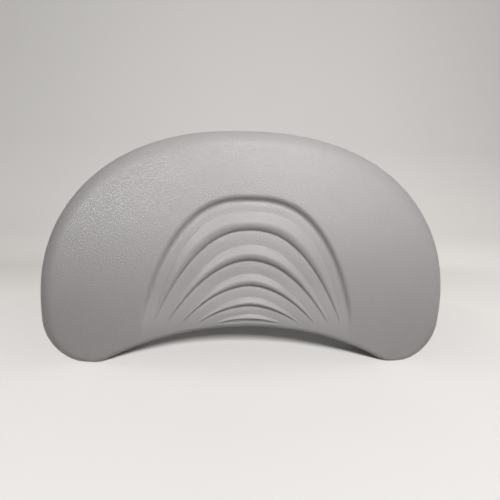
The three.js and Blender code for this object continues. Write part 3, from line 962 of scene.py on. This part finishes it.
class BATHPILLOW_OT_back_skin(bpy.types.Operator):
    """Cut the back sheet to the outline, with a round hole for each socket"""

    bl_idname = "bath_pillow.back_skin"
    bl_label = "Back Skin"

    def execute(self, context):
        pillow = context.scene.bath_pillow
        form, back = pillow.form, pillow.back
        moulding = Moulding(form, pillow.fan)
        end = moulding.lobe_start
        over_top = moulding.round_over(end, SHEET_TOP)
        neck = moulding.on_arch(np.linspace(-end, end, SHEET_NECK)[1:-1])
        edge = np.stack(inset(np.concatenate([over_top, neck]), form.skin + back.fit), axis=1)
        loops = [edge]
        for place in PLACES:
            centre = middle_of(f"cup_socket_{place}")
            loops.append(circle(centre.x, centre.z, back.flange_radius + back.fit))
        sheet = flat_piece("back_skin_grained", loops, back.sheet, back.sheet_edge, 0.0)
        material = leather("grained_back", pillow.finish.back, pillow.finish.grain, False)
        settle(sheet, "pillow", "back", material, "back_skin")
        return {"FINISHED"}


class BATHPILLOW_OT_cup_sockets(bpy.types.Operator):
    """Mould the four keyhole sockets, each a flange with a collar under it"""

    bl_idname = "bath_pillow.cup_sockets"
    bl_label = "Cup Sockets"

    def execute(self, context):
        pillow = context.scene.bath_pillow
        back = pillow.back
        material = moulded_plastic("socket_plastic", pillow.finish.socket, 0.42)
        inner, outer, edge = back.chamber_radius, back.collar_radius, 0.4 * MM
        for place in PLACES:
            node = f"cup_socket_{place}"
            centre = middle_of(node)
            x, z = centre.x, centre.z
            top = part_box(node)[1].y - BACK_PLANE
            loops = [circle(x, z, back.flange_radius), keyhole(back, x, z)]
            for side in (-1, 1):
                loops.append(circle(x + side * back.screw_reach, z, back.hole_radius, HOLE_STEPS))
            flange = flat_piece(
                f"keyhole_flange_{place}", loops, back.flange_thickness, back.flange_edge, top)
            low = top - back.flange_thickness - back.collar_depth
            high = top - back.flange_thickness / 2
            profile = [(inner, high), (inner, low), (outer, low), (outer, high), (inner, high)]
            collar = turned_piece(f"keyhole_collar_{place}", rounded(profile, edge), x, z)
            settle(flange, "pillow", "socket", material, node)
            settle(collar, "pillow", "socket", material, node)
        return {"FINISHED"}


class BATHPILLOW_OT_socket_screws(bpy.types.Operator):
    """Turn the eight pan-headed screws and sink a cross in each head"""

    bl_idname = "bath_pillow.socket_screws"
    bl_label = "Socket Screws"

    def execute(self, context):
        pillow = context.scene.bath_pillow
        material = turned_steel(pillow.finish.screw)
        for place in PLACES:
            for side in SCREW_SIDES:
                self.make_screw(f"{place}_{side}", pillow.back, material)
        return {"FINISHED"}

    def make_screw(self, place, back, material):
        """A pointed shank and a domed head, in shares of their radii and of the head's height."""
        edge, crisp = 0.3 * MM, math.radians(40)
        node = f"socket_screw_{place}"
        centre = middle_of(node)
        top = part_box(node)[1].y - BACK_PLANE
        head, shank, height = back.screw_head_radius, back.shank_radius, back.screw_head_height
        seat = top - height
        tip = seat - back.shank_length
        profile = rounded([
            (0.0, tip), (0.5 * shank, tip), (shank, tip + 1.5 * shank), (shank, seat),
            (head, seat), (head, seat + 0.35 * height), (0.8 * head, seat + 0.85 * height),
            (0.4 * head, top), (0.0, top),
        ], edge)
        screw = turned_piece(f"pan_screw_{place}", profile, centre.x, centre.z, SCREW_STEPS)
        tool = self.make_cross(back, Vector((centre.x, BACK_PLANE + top, centre.z)))
        sink = screw.modifiers.new("cross", "BOOLEAN")
        sink.operation, sink.object, sink.solver, sink.use_self = "DIFFERENCE", tool, "EXACT", True
        sunk = evaluated(screw)
        screw.modifiers.clear()
        screw.data = sunk
        bpy.data.objects.remove(tool)
        screw.modifiers.new("crisp drive", "EDGE_SPLIT").split_angle = crisp
        settle(screw, "pillow", "screw", material, node)

    def make_cross(self, back, middle):
        """Two bars that cut the drive, half over the head and half in it."""
        cross = bpy.data.meshes.new("cross")
        work = bmesh.new()
        bar = (back.drive_length, back.drive_width)
        for across, up in (bar, bar[::-1]):
            scale = Matrix.Diagonal((across, 2 * back.drive_depth, up, 1.0))
            bmesh.ops.create_cube(work, size=1.0, matrix=Matrix.Translation(middle) @ scale)
        work.to_mesh(cross)
        work.free()
        return add("cross", cross)


class BATHPILLOW_OT_suction_cups(bpy.types.Operator):
    """Mould the four soft suction cups: head, neck, flared bell, flat rim and hollow"""

    bl_idname = "bath_pillow.suction_cups"
    bl_label = "Suction Cups"

    def execute(self, context):
        pillow = context.scene.bath_pillow
        back = pillow.back
        material = soft_vinyl(pillow.finish.cup)
        for place in PLACES:
            node = f"suction_cup_{place}"
            centre = middle_of(node)
            low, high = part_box(node)
            head, wall = low.y - BACK_PLANE, high.y - BACK_PLANE
            profile = self.profile(back, head, wall)
            cup = turned_piece(f"vinyl_cup_{place}", profile, centre.x, centre.z)
            settle(cup, f"{place}_cup", "cup", material, node)
        return {"FINISHED"}

    def profile(self, back, head, wall):
        """Section from the top of the head, out over the bell and back into its hollow."""
        edge, rim_edge = 0.5 * MM, 0.2 * MM
        shoulder = wall - back.bell_depth
        neck = head + back.head_thickness
        flare = shoulder + back.bell_lip
        points = rounded([
            (0.0, head), (back.head_top, head), (back.head_radius, head + back.head_crown),
            (back.head_radius, neck), (back.neck_radius, neck), (back.neck_radius, shoulder),
            (back.shoulder_radius, shoulder), (back.shoulder_radius, flare),
        ], edge)
        out = np.linspace(0, 1, BELL_STEPS)
        radius = lerp(back.shoulder_radius, back.bell_radius, out)
        bell = flare + (back.bell_depth - 2 * back.bell_lip) * out ** back.bell_flare
        rim = back.bell_radius - back.rim_land
        hollow = wall - (back.bell_depth - back.bell_crown) * (1 - out[::-1] ** 2)
        return [
            *points[:-1], *zip(radius.tolist(), bell.tolist()),
            (back.bell_radius, wall - back.bell_lip / 4),
            (back.bell_radius - rim_edge, wall),
            *zip((rim * out[::-1]).tolist(), hollow.tolist()),
        ]


class BATHPILLOW_OT_stage(bpy.types.Operator):
    """Set the paper sweep, the lamps and the camera"""

    bl_idname = "bath_pillow.stage"
    bl_label = "Stage"

    def execute(self, context):
        stage = context.scene.bath_pillow.stage
        context.scene.view_settings.view_transform = "Standard"
        self.hang_lamps(stage, self.lay_paper(stage))
        self.light_room(stage)
        self.set_camera(stage)
        return {"FINISHED"}

    def lay_paper(self, stage):
        """A sheet that lies on the floor and bends up behind the pillow."""
        front, bend, radius, top, half, steps = -2.0, 0.5, 0.8, 2.2, 2.5, 17
        line = [(front, 0.0), (bend, 0.0)]
        for a in np.linspace(0, math.pi / 2, steps)[1:]:
            line.append((bend + radius * math.sin(a), radius * (1 - math.cos(a))))
        line.append((bend + radius, top))
        points = [(side * half, y, z) for y, z in line for side in (-1, 1)]
        faces = [(2 * i, 2 * i + 1, 2 * i + 3, 2 * i + 2) for i in range(len(line) - 1)]
        mesh = bpy.data.meshes.new("paper_sweep")
        mesh.from_pydata(points, [], faces)
        for face in mesh.polygons:
            face.use_smooth = True
        paper = add("paper_sweep", mesh)
        mesh.materials.append(paper_finish(stage.paper, stage.paper_bounce, stage.paper_painted_glow))
        return paper

    def lamp(self, name, watts, size, place, aim):
        """A lamp that the camera doesn't see, a little wider than high."""
        light = bpy.data.lights.new(name, "AREA")
        light.shape, light.size, light.size_y = "RECTANGLE", size, 0.8 * size
        light.energy = watts
        lamp = add(name, light)
        lamp.location = place
        lamp.rotation_mode = "QUATERNION"
        lamp.rotation_quaternion = (Vector(aim) - Vector(place)).to_track_quat("-Z", "Y")
        lamp.visible_camera = False
        return lamp

    def shade_paper(self, lamp, paper, state):
        """Keeps a lamp's light off the paper, or on nothing else."""
        group = bpy.data.collections.new(lamp.name + "_paper")
        group.objects.link(paper)
        group.collection_objects[0].light_linking.link_state = state
        lamp.light_linking.receiver_collection = group

    def hang_lamps(self, stage, paper):
        """Lamps by power, size, place and aim. The windows only show as sheen."""
        face, back, floor = (0.0, -0.03, 0.10), (0.0, 0.03, 0.09), (0.0, 0.0, 0.0)
        for name, watts, size, place, aim, state in (
            ("softbox", stage.key, 0.24, (0.06, -0.37, 0.40), face, "EXCLUDE"),
            ("rear_lamp", stage.rear, 0.5, (0.15, 0.85, 0.25), back, "EXCLUDE"),
            ("front_window", stage.window, 0.4, (0.22, -0.60, 0.22), face, "EXCLUDE"),
            ("side_window", stage.side, 0.42, (-0.30, -0.59, 0.22), face, "EXCLUDE"),
            ("right_lamp", stage.right, 0.3, (0.50, -0.16, 0.06), face, "EXCLUDE"),
            ("left_lamp", stage.left, 0.3, (-0.50, -0.16, 0.04), face, "EXCLUDE"),
            ("paper_lamp", stage.paper_key, 0.24, (0.09, -1.50, 0.70), floor, "INCLUDE"),
        ):
            lamp = self.lamp(name, watts, size, place, aim)
            lamp.visible_diffuse = "window" not in name
            self.shade_paper(lamp, paper, state)

    def light_room(self, stage):
        """Soft light from above and in front, in a room that looks evenly pale."""
        world = bpy.data.worlds.new("room")
        world.use_nodes = True
        nodes = Nodes(world.node_tree)
        room = nodes.tree.nodes["Background"].inputs
        room["Color"].default_value = (1.0, 0.985, 0.965, 1.0)
        place = nodes.node("ShaderNodeTexCoord").outputs["Generated"]
        skyward = nodes.vectors("DOT_PRODUCT", place, (0.0, -0.45, 0.9))["Value"]
        strength = nodes.mapped(skyward, (-1.0, 1.0), (0.0, stage.fill))
        path = nodes.node("ShaderNodeLightPath").outputs
        for ray in SEEN_RAYS:
            mixed = nodes.node("ShaderNodeMix", Factor=path[ray], A=strength, B=stage.room)
            strength = mixed.outputs["Result"]
        nodes.put(room["Strength"], strength)
        bpy.context.scene.world = world

    def set_camera(self, stage):
        lens = bpy.data.cameras.new("camera")
        lens.lens, lens.sensor_width = stage.lens, 36.0
        lens.clip_start, lens.clip_end = 0.01, 50.0
        camera = add("camera", lens)
        across = math.cos(stage.elevation)
        back = Vector((math.sin(stage.azimuth) * across, -math.cos(stage.azimuth) * across,
                       math.sin(stage.elevation)))
        place = Matrix.Translation(Vector(stage.target) + back * stage.distance)
        turned = (-back).to_track_quat("-Z", "Y").to_matrix().to_4x4()
        camera.matrix_world = place @ turned @ Matrix.Rotation(stage.roll, 4, "Z")
        bpy.context.scene.camera = camera


class VIEW3D_PT_bath_pillow(bpy.types.Panel):
    """The pillow's pieces, in the order in which they are made"""

    bl_label = "Bath Pillow"
    bl_idname = "VIEW3D_PT_bath_pillow"
    bl_space_type = "VIEW_3D"
    bl_region_type = "UI"
    bl_category = "Bath Pillow"

    def draw(self, context):
        column = self.layout.column(align=True)
        for operator in OPERATORS:
            column.operator(operator.bl_idname)
        pillow = context.scene.bath_pillow
        for group in (pillow.form, pillow.fan, pillow.back, pillow.finish, pillow.stage):
            box = self.layout.box()
            for name in group.__annotations__:
                box.prop(group, name)


GROUPS = (PillowForm, FanForm, BackForm, Finishes, StageSetting, BathPillow)
OPERATORS = (
    BATHPILLOW_OT_face_skin,
    BATHPILLOW_OT_foam_core,
    BATHPILLOW_OT_insert_plate,
    BATHPILLOW_OT_back_skin,
    BATHPILLOW_OT_cup_sockets,
    BATHPILLOW_OT_socket_screws,
    BATHPILLOW_OT_suction_cups,
    BATHPILLOW_OT_stage,
)
CLASSES = (*GROUPS, *OPERATORS, VIEW3D_PT_bath_pillow)


def register():
    for cls in CLASSES:
        bpy.utils.register_class(cls)
    bpy.types.Scene.bath_pillow = PointerProperty(type=BathPillow)


def unregister():
    del bpy.types.Scene.bath_pillow
    for cls in reversed(CLASSES):
        bpy.utils.unregister_class(cls)


def main():
    register()
    bpy.ops.bath_pillow.face_skin()
    bpy.ops.bath_pillow.foam_core()
    bpy.ops.bath_pillow.insert_plate()
    bpy.ops.bath_pillow.back_skin()
    bpy.ops.bath_pillow.cup_sockets()
    bpy.ops.bath_pillow.socket_screws()
    bpy.ops.bath_pillow.suction_cups()
    bpy.ops.bath_pillow.stage()


if __name__ == "__main__":
    main()
